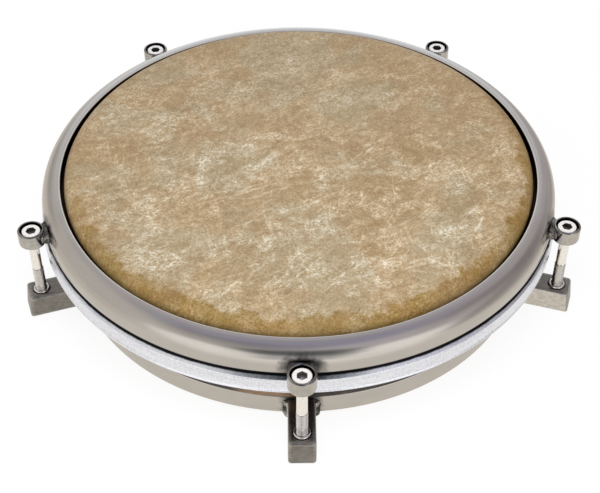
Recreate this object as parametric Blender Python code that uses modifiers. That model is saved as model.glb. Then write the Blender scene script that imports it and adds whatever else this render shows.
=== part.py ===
"""Travel conga: a shallow hand drum with a film head.

Five tension bolts draw the head over a wooden bearing ring. Metres, +Z up. The origin is on the drum's axis, in the
plane of the lug blocks' feet. The first lug points to -Y, and the others follow anticlockwise as seen from above.
"""

import math

import bmesh
import bpy
from mathutils import Matrix

# Overall sizes
SHELL_DIAMETER = 0.2985
DRUM_HEIGHT = 0.0795
LUG_COUNT = 5
FIRST_LUG_ANGLE = math.radians(-90)

# Clearances and travel
SEAT_GAP = 0.0003
BOLT_HOLE_GAP = 0.0004
HEAD_GAP = 0.0011
SLOT_SIDE_GAP = 0.0007
FLARE_GAP = 0.00095
DRAW_DOWN = 0.003
DRAW_UP = 0.004

# Wooden bearing ring and the steel band round its foot
RING_WALL = 0.0105
BEARING_RADIUS = 0.0091
RING_INNER_ROUND = 0.0013
RING_FOOT_CHAMFER = 0.001
BAND_LIFT = 0.0048
BAND_HEIGHT = 0.0137
BAND_WALL = 0.003
BAND_EDGE = 0.0007

# Film head
FILM_THICKNESS = 0.0006
FILM_FLARE_RADIUS = 0.0018
FILM_TUCK_RADIUS = 0.002
FILM_TUCK_DEPTH = 0.0063

# Counterhoop: a rounded crown with an inner lip and an outer skirt
RIM_DROP = 0.0057
RIM_LIP_GAP = 0.00255
RIM_LIP_HEIGHT = 0.0085
RIM_LIP_ROUND = 0.0011
RIM_CREST = 0.0018
RIM_WIDTH = 0.0123
RIM_CROWN_DROP = 0.013
RIM_SKIRT_WALL = 0.0044
RIM_SKIRT_ROUND = 0.002
RIM_EDGE_ROUND = 0.0009

# Flesh hoop: a channel that holds the film's edge
HOOP_STEP = 0.001
HOOP_INNER_WALL = 0.0016
HOOP_FLOOR = 0.0029
HOOP_CHAMFER = 0.0048
HOOP_BEAD = 0.0007
HOOP_BEAD_HEIGHT = 0.0016

# Tension bolts and their washers
BOLT_OFFSET = 0.0091
HEAD_DIAMETER = 0.0115
HEAD_HEIGHT = 0.0042
HEAD_ROUND = 0.0006
HEX_KEY = 0.0053
HEX_DEPTH = 0.0026
SHANK_RELIEF = 0.0004
SHANK_LENGTH = 0.026
THREAD_DIAMETER = 0.007
THREAD_CHAMFER = 0.0009
BOLT_END_LIFT = 0.004
WASHER_THICKNESS = 0.0012

# Ears that carry the bolt heads on the counterhoop
EAR_DROP = 0.0067
EAR_WALL = 0.00155
EAR_HEIGHT = 0.0103
EAR_EDGE = 0.0011
NECK_WIDTH = 0.0112
NECK_ROOT = 0.0176
NECK_DROP = 0.0022
NECK_RISE = 0.0016
HEAD_RECESS = 0.001

# Lug blocks on the band, with the threaded inserts that the bolts screw into
LUG_WIDTH = 0.0166
LUG_HEIGHT = 0.0166
LUG_NOSE = 0.0083
LUG_DRAFT = 0.002
LUG_ROUND = 0.0019
WELD_RADIUS = 0.0034
INSERT_WALL = 0.0012
INSERT_RISE = 0.0008
INSERT_EDGE = 0.0006
INSERT_SEAT = 0.0027
INSERT_MOUTH = 0.0005

# Facets
RING_STEPS = 60
BORE_STEPS = 16
SHARP_ANGLE = math.radians(35)
MERGE = 1e-6
CUT_MARGIN = 0.002

# Radii that follow from the sizes above
SHELL_RADIUS = SHELL_DIAMETER / 2
FILM_RADIUS = SHELL_RADIUS + SEAT_GAP + FILM_THICKNESS
EDGE_CENTRE = SHELL_RADIUS - BEARING_RADIUS
RIM_INNER = FILM_RADIUS + RIM_LIP_GAP
RIM_OUTER = RIM_INNER + RIM_WIDTH
SKIRT_INNER = RIM_OUTER - RIM_SKIRT_WALL
SLOT_INNER = SKIRT_INNER - FILM_THICKNESS - 2 * SLOT_SIDE_GAP
HOOP_INNER = SLOT_INNER - HOOP_INNER_WALL
HOOP_OUTER = RIM_OUTER + HOOP_STEP
BOLT_CIRCLE_RADIUS = RIM_OUTER + BOLT_OFFSET
HEAD_RADIUS = HEAD_DIAMETER / 2
COUNTERBORE_RADIUS = HEAD_RADIUS + HEAD_GAP
EAR_RADIUS = COUNTERBORE_RADIUS + EAR_WALL
BOLT_HOLE_RADIUS = THREAD_DIAMETER / 2 + BOLT_HOLE_GAP
INSERT_RADIUS = BOLT_HOLE_RADIUS + INSERT_WALL

# Heights that follow from the sizes above
RING_TOP = DRUM_HEIGHT - FILM_THICKNESS - SEAT_GAP
BAND_TOP = BAND_LIFT + BAND_HEIGHT
LIP_TOP = DRUM_HEIGHT - RIM_DROP
LIP_BOTTOM = LIP_TOP - RIM_LIP_HEIGHT
FLARE_TOP = LIP_BOTTOM - DRAW_DOWN - FLARE_GAP
HOOP_TOP = FLARE_TOP - FILM_THICKNESS - FLARE_GAP - DRAW_UP
RIM_BOTTOM = HOOP_TOP + SEAT_GAP
FILM_END = HOOP_TOP - FILM_TUCK_DEPTH
SLOT_BOTTOM = FILM_END - SEAT_GAP - DRAW_UP
HOOP_BOTTOM = SLOT_BOTTOM - HOOP_FLOOR
EAR_TOP = LIP_TOP - EAR_DROP
EAR_BOTTOM = EAR_TOP - EAR_HEIGHT
HEAD_TOP = EAR_TOP - HEAD_RECESS
HEAD_BOTTOM = HEAD_TOP - HEAD_HEIGHT
WASHER_TOP = HEAD_BOTTOM - SEAT_GAP
COUNTERBORE_FLOOR = WASHER_TOP - WASHER_THICKNESS - SEAT_GAP
THREAD_TOP = HEAD_BOTTOM - SHANK_LENGTH
INSERT_TOP = LUG_HEIGHT + INSERT_RISE


def clear_scene():
    for obj in list(bpy.data.objects):
        bpy.data.objects.remove(obj, do_unlink=True)


def new_collection(name):
    collection = bpy.data.collections.new(name)
    bpy.context.scene.collection.children.link(collection)
    return collection


def new_material(name, colour, roughness, metallic):
    material = bpy.data.materials.new(name)
    material.use_nodes = True
    shader = material.node_tree.nodes["Principled BSDF"]
    shader.inputs["Base Color"].default_value = (*colour, 1)
    shader.inputs["Roughness"].default_value = roughness
    shader.inputs["Metallic"].default_value = metallic
    return material


def new_object(name, mesh, collection):
    obj = bpy.data.objects.new(name, mesh)
    collection.objects.link(obj)
    return obj


def as_helper(obj):
    """A cutter or an added form, which isn't a piece of the drum itself."""
    obj.hide_render = True
    obj.display_type = "WIRE"
    return obj


def arc(centre, radii, start, end, steps):
    """Points on an elliptical arc in the (r, z) plane, with angles in degrees from +r towards +z."""
    angles = [math.radians(start + (end - start) * i / steps) for i in range(steps + 1)]
    return [(centre[0] + radii[0] * math.cos(a), centre[1] + radii[1] * math.sin(a)) for a in angles]


def settle(obj):
    """Replaces the object's mesh by what its modifiers make of it, shaded smooth between its sharp edges."""
    graph = bpy.context.evaluated_depsgraph_get()
    mesh = bpy.data.meshes.new_from_object(obj.evaluated_get(graph))
    mesh.name = obj.name
    mesh.shade_smooth()
    mesh.set_sharp_from_angle(angle=SHARP_ANGLE)
    obj.modifiers.clear()
    obj.data = mesh
    return obj


def turned(name, outline, steps, collection, closed=True, wall=0.0):
    """Turns an (r, z) outline, which runs down its outer side, about Z. An open one can get a wall inside it."""
    count = len(outline)
    edges = [(i, (i + 1) % count) for i in range(count if closed else count - 1)]
    mesh = bpy.data.meshes.new(name)
    mesh.from_pydata([(r, 0, z) for r, z in outline], edges, [])
    obj = new_object(name, mesh, collection)
    screw = obj.modifiers.new("Turn", "SCREW")
    screw.steps = steps
    screw.render_steps = steps
    screw.use_merge_vertices = True
    screw.merge_threshold = MERGE
    if wall:
        solidify = obj.modifiers.new("Wall", "SOLIDIFY")
        solidify.thickness = wall
        solidify.offset = -1
        solidify.use_even_offset = True
    return settle(obj)


def cylinder(name, radius, bottom, top, steps, collection, at=(0, 0)):
    mesh = bpy.data.meshes.new(name)
    shape = bmesh.new()
    place = Matrix.Translation((*at, (bottom + top) / 2))
    bmesh.ops.create_cone(
        shape, cap_ends=True, segments=steps, radius1=radius, radius2=radius, depth=top - bottom, matrix=place
    )
    shape.to_mesh(mesh)
    shape.free()
    return new_object(name, mesh, collection)


def extruded(name, outline, bottom, top, collection):
    """A flat (x, y) outline, drawn as a filled curve and given a height."""
    curve = bpy.data.curves.new(name, "CURVE")
    curve.dimensions = "2D"
    curve.fill_mode = "BOTH"
    curve.extrude = (top - bottom) / 2
    spline = curve.splines.new("POLY")
    spline.points.add(len(outline) - 1)
    for point, (x, y) in zip(spline.points, outline):
        point.co = (x, y, 0, 1)
    spline.use_cyclic_u = True
    drawn = new_object(name + "_outline", curve, collection)
    drawn.location.z = (bottom + top) / 2
    bpy.context.view_layer.update()
    graph = bpy.context.evaluated_depsgraph_get()
    mesh = bpy.data.meshes.new_from_object(drawn.evaluated_get(graph))
    mesh.transform(drawn.matrix_world)
    bpy.data.objects.remove(drawn, do_unlink=True)
    shape = bmesh.new()
    shape.from_mesh(mesh)
    bmesh.ops.remove_doubles(shape, verts=shape.verts, dist=MERGE)
    bmesh.ops.recalc_face_normals(shape, faces=shape.faces)
    shape.to_mesh(mesh)
    shape.free()
    return new_object(name, mesh, collection)


def add_bevel(obj, width, segments):
    bevel = obj.modifiers.new("Round", "BEVEL")
    bevel.width = width
    bevel.segments = segments
    bevel.limit_method = "ANGLE"
    bevel.angle_limit = math.radians(50)


def add_boolean(obj, other, operation):
    boolean = obj.modifiers.new(other.name, "BOOLEAN")
    boolean.object = as_helper(other)
    boolean.operation = operation
    boolean.solver = "EXACT"


def bearing_ring_outline():
    inner = SHELL_RADIUS - RING_WALL
    crest = (inner + RING_INNER_ROUND, RING_TOP - RING_INNER_ROUND)
    foot_radius = SHELL_RADIUS - BAND_WALL - SEAT_GAP
    foot = BAND_LIFT + SEAT_GAP
    points = arc(crest, (RING_INNER_ROUND, RING_INNER_ROUND), 180, 90, 1)
    points += arc((EDGE_CENTRE, RING_TOP - BEARING_RADIUS), (BEARING_RADIUS, BEARING_RADIUS), 90, 0, 4)
    points += [
        (SHELL_RADIUS, BAND_TOP + SEAT_GAP),
        (foot_radius, BAND_TOP + SEAT_GAP),
        (foot_radius, foot + RING_FOOT_CHAMFER),
        (foot_radius - RING_FOOT_CHAMFER, foot),
        (inner + RING_FOOT_CHAMFER, foot),
        (inner, foot + RING_FOOT_CHAMFER),
    ]
    return points


def frame_band_outline():
    inner = SHELL_RADIUS - BAND_WALL
    return [
        (inner, BAND_TOP),
        (SHELL_RADIUS - BAND_EDGE, BAND_TOP),
        (SHELL_RADIUS, BAND_TOP - BAND_EDGE),
        (SHELL_RADIUS, BAND_LIFT + BAND_EDGE),
        (SHELL_RADIUS - BAND_EDGE, BAND_LIFT),
        (inner + BAND_EDGE, BAND_LIFT),
        (inner, BAND_LIFT + BAND_EDGE),
    ]


def film_outline():
    """The film's outer face: flat, over the bearing edge, down, out under the rim and into the hoop's slot."""
    edge_radius = FILM_RADIUS - EDGE_CENTRE
    tuck = SKIRT_INNER - SLOT_SIDE_GAP
    flare_centre = (FILM_RADIUS + FILM_FLARE_RADIUS, FLARE_TOP + FILM_FLARE_RADIUS)
    tuck_centre = (tuck - FILM_TUCK_RADIUS, FLARE_TOP - FILM_TUCK_RADIUS)
    points = [(0, DRUM_HEIGHT)]
    points += arc((EDGE_CENTRE, DRUM_HEIGHT - edge_radius), (edge_radius, edge_radius), 90, 0, 4)
    points += arc(flare_centre, (FILM_FLARE_RADIUS, FILM_FLARE_RADIUS), 180, 270, 1)
    points += arc(tuck_centre, (FILM_TUCK_RADIUS, FILM_TUCK_RADIUS), 90, 0, 1)
    points.append((tuck, FILM_END))
    return points


def crown_curve(gap):
    """The counterhoop's crown from its crest to its skirt, or the curve that stays that gap outside it."""
    crest = RIM_INNER + RIM_CREST
    radii = (RIM_OUTER - crest + gap, RIM_CROWN_DROP + gap)
    return arc((crest, LIP_TOP - RIM_CROWN_DROP), radii, 90, 0, 7)


def counterhoop_outline():
    lip_round = (RIM_LIP_ROUND, RIM_LIP_ROUND)
    skirt_round = (RIM_SKIRT_ROUND, RIM_SKIRT_ROUND)
    points = arc((RIM_INNER + RIM_LIP_ROUND, LIP_TOP - RIM_LIP_ROUND), lip_round, 180, 90, 2)
    points += crown_curve(0)
    points += arc((RIM_OUTER - RIM_SKIRT_ROUND, RIM_BOTTOM + RIM_SKIRT_ROUND), skirt_round, 0, -90, 2)
    points += [
        (SKIRT_INNER, RIM_BOTTOM),
        (SKIRT_INNER, LIP_BOTTOM),
        (RIM_INNER + RIM_EDGE_ROUND, LIP_BOTTOM),
        (RIM_INNER, LIP_BOTTOM + RIM_EDGE_ROUND),
    ]
    return points


def flesh_hoop_outline():
    bead_top = HOOP_BOTTOM + HOOP_BEAD_HEIGHT
    return [
        (HOOP_OUTER - HOOP_CHAMFER, HOOP_TOP),
        (HOOP_OUTER, HOOP_TOP - HOOP_CHAMFER),
        (HOOP_OUTER, bead_top + HOOP_BEAD),
        (HOOP_OUTER + HOOP_BEAD, bead_top),
        (HOOP_OUTER + HOOP_BEAD, HOOP_BOTTOM + HOOP_BEAD),
        (HOOP_OUTER, HOOP_BOTTOM),
        (HOOP_INNER, HOOP_BOTTOM),
        (HOOP_INNER, HOOP_TOP),
        (SLOT_INNER, HOOP_TOP),
        (SLOT_INNER, SLOT_BOTTOM),
        (SKIRT_INNER, SLOT_BOTTOM),
        (SKIRT_INNER, HOOP_TOP),
    ]


def make_ear(collection, cutters):
    """A round eye for one bolt head, on a lower neck that widens towards the counterhoop it is welded to."""
    edge = (EAR_EDGE, EAR_EDGE)
    eye = [(0, EAR_TOP)]
    eye += arc((EAR_RADIUS - EAR_EDGE, EAR_TOP - EAR_EDGE), edge, 90, 0, 2)
    eye += arc((EAR_RADIUS - EAR_EDGE, EAR_BOTTOM + EAR_EDGE), edge, 0, -90, 2)
    eye.append((0, EAR_BOTTOM))
    ear = turned("rim_ear", eye, BORE_STEPS, collection, closed=False)
    root = RIM_OUTER - RIM_SKIRT_WALL / 2 - BOLT_CIRCLE_RADIUS
    neck_outline = [(root, -NECK_ROOT / 2), (0, -NECK_WIDTH / 2), (0, NECK_WIDTH / 2), (root, NECK_ROOT / 2)]
    neck = extruded("ear_neck", neck_outline, EAR_BOTTOM + NECK_RISE, EAR_TOP - NECK_DROP, cutters)
    add_boolean(ear, neck, "UNION")
    low = EAR_BOTTOM - CUT_MARGIN
    high = EAR_TOP + CUT_MARGIN
    inside_rim = [(RIM_INNER, LIP_TOP + SEAT_GAP)] + crown_curve(SEAT_GAP)
    inside_rim += [(RIM_OUTER + SEAT_GAP, low), (RIM_INNER, low)]
    rim = turned("rim_clearance", inside_rim, RING_STEPS, cutters)
    rim.location.x = -BOLT_CIRCLE_RADIUS
    add_boolean(ear, rim, "DIFFERENCE")
    bore = cylinder("ear_bore", BOLT_HOLE_RADIUS, low, high, BORE_STEPS, cutters)
    add_boolean(ear, bore, "DIFFERENCE")
    counterbore = cylinder("ear_counterbore", COUNTERBORE_RADIUS, COUNTERBORE_FLOOR, high, BORE_STEPS, cutters)
    add_boolean(ear, counterbore, "DIFFERENCE")
    return settle(ear)


def make_lug_block(collection, cutters):
    """A rounded bar with a raked nose, welded to the band by two beads, with a stepped hole for the insert."""
    face = SHELL_RADIUS + SEAT_GAP - BOLT_CIRCLE_RADIUS
    root = face - BAND_WALL - LUG_ROUND
    side_view = [(root, 0), (LUG_NOSE + LUG_DRAFT, 0), (LUG_NOSE, LUG_HEIGHT), (root, LUG_HEIGHT)]
    block = extruded("lug_block", side_view, -LUG_WIDTH / 2, LUG_WIDTH / 2, collection)
    block.data.transform(Matrix.Rotation(math.radians(90), 4, "X"))
    add_bevel(block, LUG_ROUND, 2)
    for side in (-1, 1):
        corner = (face, side * LUG_WIDTH / 2)
        bead_top = LUG_HEIGHT - LUG_ROUND
        bead = cylinder(f"weld_bead_{side}", WELD_RADIUS, BAND_LIFT, bead_top, BORE_STEPS, cutters, corner)
        add_boolean(block, bead, "UNION")
    low = -CUT_MARGIN
    high = LUG_HEIGHT + CUT_MARGIN
    axis = (-BOLT_CIRCLE_RADIUS, 0)
    band = cylinder("band_clearance", SHELL_RADIUS + SEAT_GAP, low, high, RING_STEPS, cutters, axis)
    add_boolean(block, band, "DIFFERENCE")
    seat_radius = INSERT_RADIUS + SEAT_GAP
    seat_outline = [
        (0, high),
        (seat_radius + INSERT_MOUTH + CUT_MARGIN, high),
        (seat_radius, LUG_HEIGHT - INSERT_MOUTH),
        (seat_radius, INSERT_SEAT - SEAT_GAP),
        (0, INSERT_SEAT - SEAT_GAP),
    ]
    seat = turned("insert_seat", seat_outline, BORE_STEPS, cutters, closed=False)
    add_boolean(block, seat, "DIFFERENCE")
    through = cylinder("bolt_way", BOLT_HOLE_RADIUS, low, high, BORE_STEPS, cutters)
    add_boolean(block, through, "DIFFERENCE")
    return settle(block)


def make_bolt(collection, cutters):
    thread = THREAD_DIAMETER / 2
    shank = (THREAD_DIAMETER - SHANK_RELIEF) / 2
    head_edge = (HEAD_RADIUS - HEAD_ROUND, HEAD_TOP - HEAD_ROUND)
    outline = [(0, HEAD_TOP)]
    outline += arc(head_edge, (HEAD_ROUND, HEAD_ROUND), 90, 0, 2)
    outline += [
        (HEAD_RADIUS, HEAD_BOTTOM),
        (shank, HEAD_BOTTOM),
        (shank, THREAD_TOP + thread - shank),
        (thread, THREAD_TOP),
        (thread, BOLT_END_LIFT + THREAD_CHAMFER),
        (thread - THREAD_CHAMFER, BOLT_END_LIFT),
        (0, BOLT_END_LIFT),
    ]
    bolt = turned("tension_bolt", outline, BORE_STEPS, collection, closed=False)
    corner_radius = HEX_KEY / math.sqrt(3)
    socket = cylinder("hex_socket", corner_radius, HEAD_TOP - HEX_DEPTH, HEAD_TOP + CUT_MARGIN, 6, cutters)
    add_boolean(bolt, socket, "DIFFERENCE")
    return settle(bolt)


def make_washer(collection):
    outer = COUNTERBORE_RADIUS - BOLT_HOLE_GAP
    bottom = WASHER_TOP - WASHER_THICKNESS
    outline = [
        (BOLT_HOLE_RADIUS, WASHER_TOP),
        (outer, WASHER_TOP),
        (outer, bottom),
        (BOLT_HOLE_RADIUS, bottom),
    ]
    return turned("bolt_washer", outline, BORE_STEPS, collection)


def make_insert(collection):
    outline = [
        (BOLT_HOLE_RADIUS, INSERT_TOP),
        (INSERT_RADIUS - INSERT_EDGE, INSERT_TOP),
        (INSERT_RADIUS, INSERT_TOP - INSERT_EDGE),
        (INSERT_RADIUS, INSERT_SEAT),
        (BOLT_HOLE_RADIUS, INSERT_SEAT),
    ]
    return turned("thread_insert", outline, BORE_STEPS, collection)


def copy_round_drum(pattern, material, collection, lugs):
    """One object for each lug, sharing the pattern's mesh, on the empty that marks that lug's bolt axis."""
    pattern.data.materials.append(material)
    for number, lug in enumerate(lugs, start=1):
        piece = new_object(f"{pattern.name}_{number}", pattern.data, collection)
        piece.parent = lug
    bpy.data.objects.remove(pattern, do_unlink=True)


def lug_empties(collection):
    """Empties on the bolt axes, with +X pointing away from the drum's axis."""
    lugs = []
    for number in range(LUG_COUNT):
        angle = FIRST_LUG_ANGLE + 2 * math.pi * number / LUG_COUNT
        lug = new_object(f"lug_axis_{number + 1}", None, collection)
        lug.location = (BOLT_CIRCLE_RADIUS * math.cos(angle), BOLT_CIRCLE_RADIUS * math.sin(angle), 0)
        lug.rotation_euler.z = angle
        lugs.append(lug)
    return lugs


def main():
    clear_scene()
    drum = new_collection("travel_conga")
    cutters = new_collection("cutters")

    nickel = new_material("satin_nickel", (0.62, 0.6, 0.55), 0.32, 1.0)
    aluminium = new_material("aluminium", (0.8, 0.81, 0.83), 0.42, 1.0)
    chrome = new_material("bright_chrome", (0.78, 0.78, 0.78), 0.14, 1.0)
    film = new_material("tan_film", (0.52, 0.4, 0.24), 0.45, 0.0)
    wood = new_material("brown_wood", (0.16, 0.085, 0.04), 0.5, 0.0)

    turned("bearing_ring", bearing_ring_outline(), RING_STEPS, drum).data.materials.append(wood)
    turned("frame_band", frame_band_outline(), RING_STEPS, drum).data.materials.append(nickel)
    turned("counterhoop", counterhoop_outline(), RING_STEPS, drum).data.materials.append(nickel)
    turned("flesh_hoop", flesh_hoop_outline(), RING_STEPS, drum).data.materials.append(aluminium)
    head = turned("head_film", film_outline(), RING_STEPS, drum, closed=False, wall=FILM_THICKNESS)
    head.data.materials.append(film)

    lugs = lug_empties(drum)
    copy_round_drum(make_ear(drum, cutters), nickel, drum, lugs)
    copy_round_drum(make_lug_block(drum, cutters), nickel, drum, lugs)
    copy_round_drum(make_bolt(drum, cutters), chrome, drum, lugs)
    copy_round_drum(make_washer(drum), chrome, drum, lugs)
    copy_round_drum(make_insert(drum), chrome, drum, lugs)


main()
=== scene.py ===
import math

import bmesh
import bpy
from mathutils import Matrix, Vector


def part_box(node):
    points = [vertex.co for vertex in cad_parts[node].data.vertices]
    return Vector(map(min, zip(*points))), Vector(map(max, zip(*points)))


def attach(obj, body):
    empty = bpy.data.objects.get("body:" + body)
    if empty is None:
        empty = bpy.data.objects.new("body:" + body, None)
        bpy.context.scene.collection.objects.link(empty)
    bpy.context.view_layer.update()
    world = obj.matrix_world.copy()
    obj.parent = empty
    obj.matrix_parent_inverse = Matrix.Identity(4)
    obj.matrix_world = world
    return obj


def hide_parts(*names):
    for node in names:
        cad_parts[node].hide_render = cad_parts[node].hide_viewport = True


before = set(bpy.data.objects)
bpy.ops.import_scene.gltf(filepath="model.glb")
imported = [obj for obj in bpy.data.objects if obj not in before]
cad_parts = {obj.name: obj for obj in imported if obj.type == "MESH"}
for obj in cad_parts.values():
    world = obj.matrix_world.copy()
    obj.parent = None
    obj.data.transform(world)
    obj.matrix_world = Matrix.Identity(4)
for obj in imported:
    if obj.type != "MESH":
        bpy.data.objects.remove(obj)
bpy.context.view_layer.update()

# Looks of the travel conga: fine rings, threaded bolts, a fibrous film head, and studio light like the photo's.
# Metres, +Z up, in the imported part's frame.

LUGS = range(1, 6)

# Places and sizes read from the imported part
FILM_LOW, FILM_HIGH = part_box("head_film")
RIM_LOW, RIM_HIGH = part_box("counterhoop")
HOOP_LOW, HOOP_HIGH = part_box("flesh_hoop")
BAND_LOW, BAND_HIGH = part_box("frame_band")
RING_LOW, RING_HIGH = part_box("bearing_ring")
EAR_LOW, EAR_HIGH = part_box("rim_ear_1")
BLOCK_LOW, BLOCK_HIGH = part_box("lug_block_1")
BOLT_LOW, BOLT_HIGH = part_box("tension_bolt_1")
WASHER_LOW, WASHER_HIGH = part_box("bolt_washer_1")
INSERT_LOW, INSERT_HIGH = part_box("thread_insert_1")

FIRST_LUG_ANGLE = math.radians(-90)
BOLT_CIRCLE = -(BOLT_LOW.y + BOLT_HIGH.y) / 2
SHELL_RADIUS = BAND_HIGH.x
SEAT_GAP = 0.0003

# Wooden ring and band
RING_WALL = 0.0105
BEARING_RADIUS = 0.0091
RING_INNER_ROUND = 0.0013
RING_FOOT_CHAMFER = 0.001
BAND_WALL = 0.003
BAND_EDGE = 0.0007

# Film
FILM_THICKNESS = 0.0006
FILM_RADIUS = SHELL_RADIUS + SEAT_GAP + FILM_THICKNESS
FILM_EDGE_RADIUS = BEARING_RADIUS + SEAT_GAP + FILM_THICKNESS
FILM_FLARE_RADIUS = 0.0018
FILM_TUCK_RADIUS = 0.002
FLARE_GAP = 0.00095
DRAW_DOWN = 0.003
DRAW_UP = 0.004

# Counterhoop
LIP_GAP = 0.0021
CREST_GAP = 0.0043
RIM_INNER = FILM_RADIUS + LIP_GAP
RIM_OUTER = RIM_HIGH.x
RIM_CREST = FILM_RADIUS + CREST_GAP
RIM_CROWN_DROP = 0.013
RIM_LIP_HEIGHT = 0.0085
RIM_LIP_ROUND = 0.0006
RIM_SKIRT_WALL = 0.0044
RIM_EDGE_ROUND = 0.0009
RIM_SKIRT_ROUND = 0.002
FILM_FLARE_TOP = RIM_HIGH.z - RIM_LIP_HEIGHT - DRAW_DOWN - FLARE_GAP

# Flesh hoop
HOOP_BEAD = 0.0007
HOOP_BEAD_HEIGHT = 0.0016
HOOP_BEAD_START = 35
HOOP_WALL_FOOT = HOOP_BEAD_HEIGHT * 1.5
HOOP_OUTER = HOOP_HIGH.x - HOOP_BEAD
HOOP_CHAMFER = 0.0036
HOOP_CHAMFER_ROUND = 0.0006
HOOP_CHAMFER_ANGLE = 45
SLOT_WIDTH = 0.002
SLOT_OUTER = RIM_OUTER - RIM_SKIRT_WALL
SLOT_BOTTOM = FILM_LOW.z - SEAT_GAP - DRAW_UP
HOOP_INNER_WALL = 0.0016

# Bolts, washers and inserts
HEAD_RADIUS = (BOLT_HIGH.x - BOLT_LOW.x) / 2
HEAD_HEIGHT = 0.0042
HEAD_ROUND = 0.0006
HEX_KEY = 0.0053
HEX_DEPTH = 0.0026
HEX_MOUTH = 0.0004
SOCKET_CONE_DEPTH = HEX_KEY / 6
SOCKET_CONE_RADIUS = HEX_KEY * 0.48
SHANK_RADIUS = 0.0033
THREAD_RADIUS = 0.0035
THREAD_DEPTH = 0.00045
THREAD_PITCH = 0.001
PLAIN_SHANK = 0.026
THREAD_TOP = BOLT_HIGH.z - HEAD_HEIGHT - PLAIN_SHANK
BOLT_HOLE_RADIUS = 0.0039
WASHER_RADIUS = (WASHER_HIGH.x - WASHER_LOW.x) / 2
WASHER_EDGE = 0.0002
INSERT_RADIUS = (INSERT_HIGH.x - INSERT_LOW.x) / 2
INSERT_ROUND = 0.0007

# Ears
EAR_RADIUS = -EAR_LOW.y - BOLT_CIRCLE
EAR_EDGE = 0.0011
NECK_WAIST = 0.0134
NECK_ROOT = 0.0194
NECK_DROP = 0.0024
NECK_RISE = 0.0016
NECK_SWEEP = 0.0013
NECK_SQUARENESS = 0.45
HEAD_CLEARANCE = 0.0011
COUNTERBORE_RADIUS = HEAD_RADIUS + HEAD_CLEARANCE
COUNTERBORE_FLOOR = WASHER_LOW.z - SEAT_GAP
COUNTERBORE_EDGE = 0.0004
WELD_SEAM = 0.00005

# Lumps of a neck: their share of its width, and waves round it and along it
NECK_LUMPS = [(0.018, 3, 9), (0.014, 7, -14)]

# Lug blocks
BLOCK_WIDTH = 0.0166
BLOCK_NOSE = 0.0082
BLOCK_DRAFT = 0.002
BLOCK_ROUND = 0.0019
INSERT_SEAT = INSERT_LOW.z - SEAT_GAP
INSERT_MOUTH = 0.0005
WELD_RADIUS = 0.0034
WELD_RIPPLE = 0.0016
WELD_RIPPLE_DEPTH = 0.06
WELD_FILL = 0.85
WELD_BLUNTNESS = 0.12

# Lumps of a weld bead: their share of its radius, waves up it and round it, and their shift from side to side
WELD_LUMPS = [(0.06, 820, 2, 1), (0.04, 1700, -3, 0)]

# Facets
RING_STEPS = 300
BORE_STEPS = 48
EAR_STEPS = 72
CROWN_STEPS = 32
NECK_LAYERS = 28
NECK_STEPS = 64
WELD_LAYERS = 36
WELD_STEPS = 32
CLEARANCE_STEPS = 24
CLEARANCE_HALF_ANGLE = math.radians(8)
BEVEL_ANGLE = math.radians(50)
SHARP_ANGLE = math.radians(32)
MERGE = 1e-7
CUT_MARGIN = 0.002

# Camera, fitted to the photo's bolt heads and ring outlines
CAMERA_PLACE = (-0.00682, -0.64686, 0.60325)
CAMERA_YAW = 0.01197
CAMERA_PITCH = 0.7499
CAMERA_LENS = 77.795
CAMERA_SENSOR = 36.0

# Floor as the metal mirrors it: where its zones begin and end, in metres or as a cosine, and their colours
FLOOR_SIZE = 12.0
SHEET_SIDE = (0.19, 0.31)
SHEET_SPREAD = 0.3
SHEET_BACK = (0.33, 0.6)
SHEET_FRONT = (0.25, 0.45)
SHEET_GLOW = 0.92
FRONT_FLOOR_SIDES = (0.5, 0.75)
BACK_FLOOR_SIDES = (0.93, 0.995)
FLOOR_BY_SIDE = [
    (-0.3, (0.75, 0.695, 0.63)),
    (0.24, (0.75, 0.7, 0.63)),
    (0.36, (0.58, 0.54, 0.5)),
    (0.56, (0.4, 0.37, 0.345)),
]
BACK_FLOOR = (1.45, 1.5, 1.55)
FRONT_FLOOR = (1.15, 1.12, 1.07)
NEAR_FLOOR = (0.86, 0.82, 0.76)
FLOOR_BASE = (0.1, 0.1, 0.1, 1)
LEAST_DIVISOR = 0.001

# Floor and wall as the camera sees them
PAPER = [(0.3, (0.97, 0.97, 0.97)), (0.7, (0.99, 0.99, 0.99))]
PLAIN_WALL = (0.94, 0.94, 0.94)

# Lamp
KEY_PLACE = (0.0, -0.5, 0.95)
KEY_SIZE = 0.55
KEY_POWER = 6.2

# Sky as the metal mirrors it: colours by direction, where front is the camera's side, and soft edges
OVERHEAD = (0.45, 0.44, 0.56)
OVERHEAD_EDGE = (0.98, 0.72)
AROUND_BY_SIDE = [
    (0.0, (0.74, 0.715, 0.69)),
    (0.15, (0.74, 0.715, 0.69)),
    (0.25, (0.67, 0.65, 0.63)),
    (0.5, (0.62, 0.6, 0.635)),
    (0.92, (0.58, 0.545, 0.57)),
    (1.0, (0.41, 0.38, 0.39)),
]
BACK_WALL = (1.1, 1.17, 1.26)
BACK_WALL_SIDES = (0.88, 0.99)
BACK_WALL_TOP = (0.68, 0.5)
GAP_HEIGHT = math.radians(34)
GAP_HALF_WIDTH = 0.36
GAP_HALF_HEIGHT = 0.25
GAP_EDGE = (1.6, 0.3)
GAP_AHEAD = (0.1, 0.4)
GAP_SHADE = (0.1, 0.115, 0.12)
BOX_TURN = math.radians(38)
BOX_HEIGHT = math.radians(6)
BOX_INNER = math.cos(math.radians(14))
BOX_OUTER = math.cos(math.radians(27))
BOX_SHADE = (1.28, 1.27, 1.24)

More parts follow.
